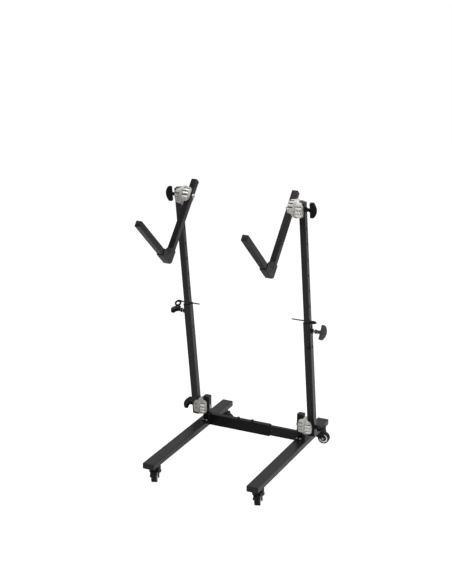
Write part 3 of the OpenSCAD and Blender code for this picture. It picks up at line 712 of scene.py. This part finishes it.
def strap_link():
    """Thin wire link that hangs round the left height knob's neck, where the strap is kept."""
    shape = Shape(UPRIGHT @ at(LINK_X, 0, CLAMP_UP))
    middle, reach = (LINK_TOP + LINK_LOW) / 2, (LINK_TOP - LINK_LOW) / 2
    outline = []
    for a in around(48):
        c, s = math.cos(a), math.sin(a)
        outline.append((LINK_TILT * s, LINK_WIDE * c * (1 - LINK_TAPER * s), middle + reach * s))
    shape.sweep(outline, circle(LINK_R, 8), closed=True, side=(1, 0, 0))
    add_piece("left_strap_link", shape.bm, "steel", NODE_BODY["left_lower_tube"], side=-1,
              sharp=60)


strap_link()


# ------------------------------------------------------------------ plugs, collars and sockets
for node in frame["nodes"]:
    if node.endswith("arm_plugs"):
        bevelled(node, width=0.4, segments=2)
    elif node.endswith(("plugs", "plug")):
        bevelled(node, width=0.7)
    elif node.endswith("guide_collar"):
        bevelled(node, width=0.5, segments=2)
    elif node.endswith("elbow"):
        bevelled(node, width=1.6, segments=4)
bevelled("crossbar_liner", width=0.4, segments=2)


# ------------------------------------------------------------------ bolts
FOOT_BOLT_Y = 21.5             # from the post's middle
HINGE_BOLT_R = 5
CLAMP_BOLTS_X = (-4, -70)


def hex_bolt(shape, place, radius, height, washer, thick):
    """A washer and a chamfered hexagon head, standing along Z from the seat."""
    shape.lathe([(0, washer), (thick * 0.7, washer), (thick, washer - 0.4), (thick, 0)], 32, place)
    shape.hexagon(radius, height, place @ at(0, 0, thick))


def hinge_bolt(shape, pivot, start, seat, end):
    """The bolt that a hinge turns on, from start to end along X, with its head on the seat."""
    axis = at(0, *pivot)
    shape.lathe([(start, 0), (start, HINGE_BOLT_R), (end - 1.3, HINGE_BOLT_R),
                 (end, HINGE_BOLT_R - 1), (end, 0)], 28, axis @ ALONG_X)
    hex_bolt(shape, axis @ at(seat, 0, 0) @ turned(-90, "Y"),
             radius=8.5, height=5.0, washer=8.6, thick=1.0)


def base_bolts(name, side):
    shape = Shape()
    for y in (-1, 1):
        for x in (-1, 1):
            foot = at(POST_X + x * POST_W / 4, FOLD_Y + y * FOOT_BOLT_Y, LEG_TOP + PLATE_T)
            hex_bolt(shape, foot @ turned(17 * x + 9 * y, "Z"),
                     radius=4.8, height=3.0, washer=5.6, thick=0.7)
    hinge_bolt(shape, FOLD, start=204, seat=206, end=298.3)
    add_piece(name + ".heads", shape.bm, "steel", NODE_BODY[name], (name,), side, sharp=25)


def tilt_bolt(name, side):
    shape = Shape()
    hinge_bolt(shape, TILT, start=206, seat=207.5, end=295.8)
    add_piece(name + ".heads", shape.bm, "steel", NODE_BODY[name], (name,), side, sharp=25)


def crossbar_bolts(name):
    shape = Shape()
    for x in CLAMP_BOLTS_X:
        place = at(x, FOLD_Y, BAR_TOP) @ turned(11, "Z")
        hex_bolt(shape, place, radius=6, height=5.4, washer=6.9, thick=1.5)
        shape.lathe([(-8, 0), (-8, 3), (0.2, 3), (0.2, 0)], 20, place)
    add_piece(name + ".heads", shape.bm, "black_steel", NODE_BODY[name], (name,), sharp=25)


for name, side in SIDES.items():
    base_bolts(f"{name}_base_bolts", side)
    tilt_bolt(f"{name}_tilt_bolt", side)
crossbar_bolts("crossbar_clamp_bolts")


# ------------------------------------------------------------------ welds
BEAD_STEP = 0.55
RIPPLE, RIPPLE_PACE = 0.13, 3.6        # how much a ripple swells the bead, and how close they are
WANDER = 0.12
CORNER = 2                             # how far a bead cuts across a tube's corner


def bead(name, path, radius, body, side, closed=True, place=HERE, flat=(0, 0, 1)):
    """A run of weld: overlapping ripples along a path, which lies square to flat."""
    shape = Shape(place)
    points = [Vector(p) for p in path]
    if closed:
        points.append(points[0])
    rings = []
    for a, b in zip(points, points[1:]):
        count = max(int((b - a).length / BEAD_STEP), 2)
        ahead = (b - a).normalized()
        across = ahead.cross(Vector(flat)).normalized()
        up = across.cross(ahead)
        for i in range(count):
            where = a.lerp(b, i / count)
            ripple = 1 + RIPPLE * math.sin((where.x + where.y + where.z) * RIPPLE_PACE) ** 2
            wander = WANDER * math.sin(where.x * 0.9 + where.y * 1.3 + where.z * 0.7)
            rings.append([where + (across * (c + wander) + up * s) * ripple
                          for c, s in circle(radius, 10)])
    shape.skin(rings, closed)
    add_piece(name, shape.bm, "black_paint", body, side=side, sharp=180)


def square_path(x, y, z, width, soft=2.2):
    """Round a square tube in the plane Z = z, cut across its corners where they are soft."""
    w = width / 2
    return [(x - w + soft, y - w, z), (x + w - soft, y - w, z), (x + w, y - w + soft, z),
            (x + w, y + w - soft, z), (x + w - soft, y + w, z), (x - w + soft, y + w, z),
            (x - w, y + w - soft, z), (x - w, y - w + soft, z)]


def crossbar_weld(name, side, high, deep):
    """Up the front, over the top and down the back of a crossbar tube's end."""
    x, middle = BAR_END, BAR_TOP - BAR_H / 2
    low, top = middle - high / 2, middle + high / 2
    front, back = FOLD_Y - deep / 2, FOLD_Y + deep / 2
    path = [(x, front, low), (x, front, top - CORNER), (x, front + CORNER, top),
            (x, back - CORNER, top), (x, back, top - CORNER), (x, back, low)]
    leg = "left_leg" if side < 0 else "right_leg"
    bead(name, path, 1.4, NODE_BODY[leg], side, closed=False, flat=(1, 0, 0))


for name, side in SIDES.items():
    foot = square_path(POST_X, FOLD_Y, LEG_TOP + PLATE_T + 0.4, POST_W)
    bead(f"{name}_post_weld", foot, 1.5, NODE_BODY[f"{name}_post"], side)
    boss = [(LOWER_OUT + 0.4, y, CLAMP_UP + z) for y, z in circle(BOSS_R, 24)]
    bead(f"{name}_boss_weld", boss, 1.3, NODE_BODY[f"{name}_lower_tube"], side,
         place=UPRIGHT, flat=(1, 0, 0))
crossbar_weld("outer_crossbar_weld", -1, high=50, deep=25)
crossbar_weld("inner_crossbar_weld", 1, high=43, deep=18)


# ------------------------------------------------------------------ casters
WHEEL_R, TYRE_W, TYRE_T, TRAIL = 25, 24, 6, 24
AXLE_R, HUB_R, FORK_IN, FORK_T = 3, 7, 14.5, 3.5
CASTER_X = 231
LEG_FRONT_Y, LEG_LEN = -330.838, 726
FRONT_INSET, REAR_INSET = 55, 46       # from the leg's ends
CASTER_Y = {"front": LEG_FRONT_Y + FRONT_INSET, "rear": LEG_FRONT_Y + LEG_LEN - REAR_INSET}
SWIVEL = {"front": {"left": -68, "right": -71}, "rear": {"left": 5, "right": 5}}


def mirrored(outline):
    """Half an outline of (height, radius) pairs, with its mirror image across height 0."""
    return outline + [(-h, r) for h, r in reversed(outline)]


def wheel(end, name):
    """Tyre, white rim with its raised ring and hub, a dark ring in each face between rim and hub,
    and axle nuts.
    """
    place = (at(SIDES[name] * CASTER_X, CASTER_Y[end], 0) @ turned(SWIVEL[end][name], "Z")
             @ at(TRAIL, 0, WHEEL_R) @ turned(90, "X"))
    rim_r, half = WHEEL_R - TYRE_T, TYRE_W / 2
    body = NODE_BODY[f"{end}_{name}_tyre"]

    tread = mirrored([(-half + 0.3, rim_r), (-half, rim_r + 1), (-half, WHEEL_R - 3.2),
                      (-half + 0.6, WHEEL_R - 1.6), (-half + 2, WHEEL_R - 0.4),
                      (-half + 4, WHEEL_R), (-2.4, WHEEL_R), (-1.9, WHEEL_R - 0.5)])
    node = f"{end}_{name}_tyre"
    shape = Shape().ring(tread, 72, place)
    add_piece(node + ".tread", shape.bm, "tyre_rubber", body, (node,), sharp=40)

    nose = FORK_IN - 0.4
    centre = mirrored([(-half + 0.5, rim_r - 0.1), (-half, rim_r - 0.8), (-half, rim_r - 4.6),
                       (-half + 0.6, rim_r - 5.2), (-half + 3.4, rim_r - 5.4),
                       (-half + 3.6, HUB_R - 1.4), (-nose + 0.5, HUB_R - 2),
                       (-nose, HUB_R - 2.6), (-nose, AXLE_R + 0.1)])
    node = f"{end}_{name}_rim"
    shape = Shape().ring(centre, 64, place)
    add_piece(node + ".centre", shape.bm, "wheel_white", body, (node,), sharp=40)

    shape = Shape()
    for face in (-1, 1):
        seat = half - 3.5
        lip = [(seat, HUB_R - 1.2), (seat + 1.0, HUB_R - 0.9), (seat + 1.2, HUB_R + 0.4),
               (seat + 0.9, rim_r - 6.2), (seat + 0.6, rim_r - 5.6), (seat, rim_r - 5.5)]
        shape.ring([(face * h, r) for h, r in lip], 64, place)
    add_piece(f"{end}_{name}_dark_ring", shape.bm, "black_plastic", body, sharp=35)

    shape = Shape()
    for face in (0, 180):
        nut = place @ turned(face, "X") @ at(0, 0, FORK_IN + FORK_T)
        shape.lathe([(0, 6.2), (0.5, 6.2), (0.8, 5.9), (0.8, 0)], 32, nut)
        shape.hexagon(5.2, 1.9, nut @ at(0, 0, 0.3))
    fork = NODE_BODY[f"{end}_{name}_fork"]
    add_piece(f"{end}_{name}_axle_nuts", shape.bm, "steel", fork, sharp=25)


for end in CASTER_Y:
    for name in SIDES:
        wheel(end, name)
        moulded(f"{end}_{name}_fork", voxel=0.7, rounds=4)


# ------------------------------------------------------------------ floor and light
FLOOR_REACH = 60


def add_floor():
    """A pale floor that takes the stand's shadow, and is nearly white to the camera."""
    mesh = bpy.data.meshes.new("floor")
    corners = [(-1, -1), (1, -1), (1, 1), (-1, 1)]
    mesh.from_pydata([(x * FLOOR_REACH, y * FLOOR_REACH, 0) for x, y in corners], [],
                     [(0, 1, 2, 3)])
    floor = bpy.data.objects.new("floor", mesh)
    bpy.context.scene.collection.objects.link(floor)
    f = Finish("pale floor", Base_Color=(0.8, 0.8, 0.8, 1), Roughness=0.9)
    glow = f.node("ShaderNodeEmission", inputs={"Color": (1, 1, 1, 1), "Strength": 1.2})
    seen = f.node("ShaderNodeLightPath", output="Is Camera Ray")
    lit = Wire(f, f.shader.outputs["BSDF"])
    surface = f.node("ShaderNodeMixShader", inputs=(seen * 0.8, lit, glow))
    f.join(surface, f.tree.nodes["Material Output"].inputs["Surface"])
    mesh.materials.append(f.material)


def add_world():
    """White to the camera. It lights the stand as a pale backdrop and a dimmer room before it."""
    world = bpy.data.worlds.new("studio")
    world.use_nodes = True
    bpy.context.scene.world = world
    studio = Network(world.node_tree)
    backdrop = studio.tree.nodes["Background"]
    backdrop.inputs["Color"].default_value = (1, 1, 1, 1)
    toward = studio.node("ShaderNodeTexCoord", output="Generated")
    back = studio.node("ShaderNodeSeparateXYZ", inputs=(toward,), output="Y")
    room = studio.node("ShaderNodeMapRange", inputs={
        "Value": back, "From Min": -0.4, "From Max": 0.7, "To Min": 0.14, "To Max": 0.6})
    seen = studio.node("ShaderNodeLightPath", output="Is Camera Ray")
    level = studio.node("ShaderNodeMix", inputs={
        MIX_FACTOR: seen, MIX_NUMBERS[0]: room, MIX_NUMBERS[1]: 1.0}, output=MIX_NUMBER_OUT)
    studio.join(level, backdrop.inputs["Strength"])


def add_softbox(name, place, target, size, power):
    data = bpy.data.lights.new(name, "AREA")
    data.shape = "SQUARE"
    data.size = size
    data.energy = power
    lamp = bpy.data.objects.new(name, data)
    lamp.visible_camera = False
    lamp.location = place
    lamp.rotation_euler = (Vector(target) - Vector(place)).to_track_quat("-Z", "Y").to_euler()
    bpy.context.scene.collection.objects.link(lamp)


add_floor()
add_world()
add_softbox("right softbox", (3.8, 2.2, 2.4), (0, 0, 0.4), size=2.4, power=110)
add_softbox("top softbox", (-0.4, 0.4, 3.8), (0, 0, 0.4), size=2.6, power=90)
add_softbox("front softbox", (0.6, -4.2, 2.4), (0, 0, 0.6), size=2.2, power=80)
